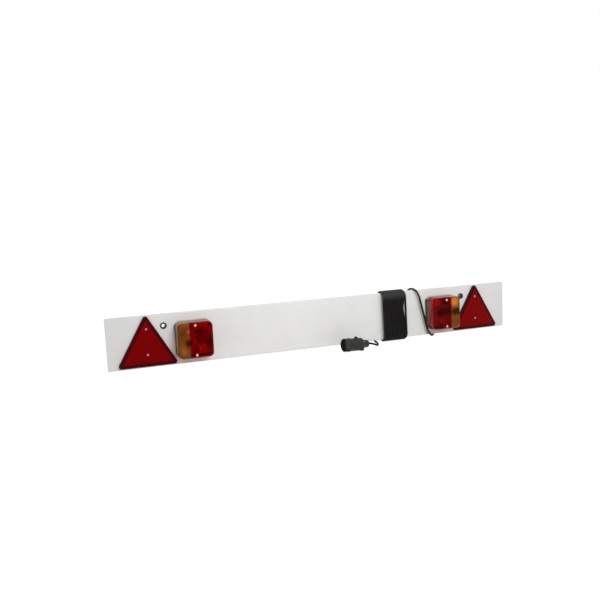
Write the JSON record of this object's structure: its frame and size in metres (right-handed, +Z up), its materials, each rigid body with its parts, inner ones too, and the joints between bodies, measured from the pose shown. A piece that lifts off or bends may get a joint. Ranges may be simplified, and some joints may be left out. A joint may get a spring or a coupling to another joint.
{
  "type": "trailer lighting board",
  "caption": "White lighting board for the back of a trailer or cycle rack: triangle reflectors and square red and amber lamps at its ends, lead wound round it, seven-pin plug.",
  "frame": {"origin": "on the board's back face, midway between the two hang holes", "axes": "+X along the board to its right end as the front is seen, +Y out of the back face, +Z up"},
  "size_m": [1.22, 0.1422, 0.1537],
  "materials": {
    "plank_pvc": "extruded white PVC, smooth",
    "grommet_plastic": "moulded dark grey nylon",
    "tray_black": "moulded black ABS",
    "reflector_red": "moulded red acrylic, prismatic back",
    "screw_plated": "bright plated",
    "fastener_zinc": "zinc plated",
    "lamp_base_abs": "moulded black ABS",
    "seal_foam": "closed-cell foam",
    "lens_red": "moulded red acrylic, clear",
    "lens_amber": "moulded amber acrylic, clear",
    "lens_clear": "moulded clear acrylic",
    "bulb_plate_white": "moulded white, glossy",
    "bulb_glass": "clear glass",
    "holder_brass": "pressed brass",
    "bush_rubber": "moulded rubber",
    "lead_sheath": "soft PVC sheath, satin",
    "link_sheath": "soft PVC sheath, satin",
    "clip_nylon": "moulded nylon",
    "pin_brass": "turned brass",
    "insert_plastic": "moulded plastic",
    "plug_rear_plastic": "moulded plastic",
    "plug_plastic": "moulded plastic, satin"
  },
  "bodies": {
    "root": {"board": "plank_pvc", "hang_grommet_left": "grommet_plastic", "hang_grommet_right": "grommet_plastic", "triangle_tray_left": "tray_black", "triangle_reflector_left": "reflector_red", "triangle_screws_left": "screw_plated", "triangle_nuts_left": "fastener_zinc", "triangle_tray_right": "tray_black", "triangle_reflector_right": "reflector_red", "triangle_screws_right": "screw_plated", "triangle_nuts_right": "fastener_zinc", "lamp_base_left": "lamp_base_abs", "lamp_seal_left": "seal_foam", "lamp_red_lens_left": "lens_red", "lamp_amber_lens_left": "lens_amber", "lamp_window_left": "lens_clear", "lamp_bulb_plate_left": "bulb_plate_white", "lamp_stop_bulb_left": "bulb_glass", "lamp_indicator_bulb_left": "bulb_glass", "lamp_holders_left": "holder_brass", "lamp_lens_screws_left": "screw_plated", "lamp_bolts_left": "fastener_zinc", "lamp_nuts_left": "fastener_zinc", "lamp_cable_bush_left": "bush_rubber", "lamp_base_right": "lamp_base_abs", "lamp_seal_right": "seal_foam", "lamp_red_lens_right": "lens_red", "lamp_amber_lens_right": "lens_amber", "lamp_window_right": "lens_clear", "lamp_bulb_plate_right": "bulb_plate_white", "lamp_stop_bulb_right": "bulb_glass", "lamp_indicator_bulb_right": "bulb_glass", "lamp_holders_right": "holder_brass", "lamp_lens_screws_right": "screw_plated", "lamp_bolts_right": "fastener_zinc", "lamp_nuts_right": "fastener_zinc", "lamp_cable_bush_right": "bush_rubber", "lead_bush": "bush_rubber", "link_cable": "link_sheath", "cable_clips": "clip_nylon", "clip_screws": "fastener_zinc", "cord_lead": "lead_sheath", "cord_winding": "lead_sheath", "cord_tail": "lead_sheath", "plug_body": "plug_plastic", "plug_insert": "insert_plastic", "plug_pins": "pin_brass", "plug_cover": "plug_rear_plastic", "plug_cover_screws": "fastener_zinc", "plug_cable_nut": "plug_rear_plastic"}
  },
  "joints": []
}
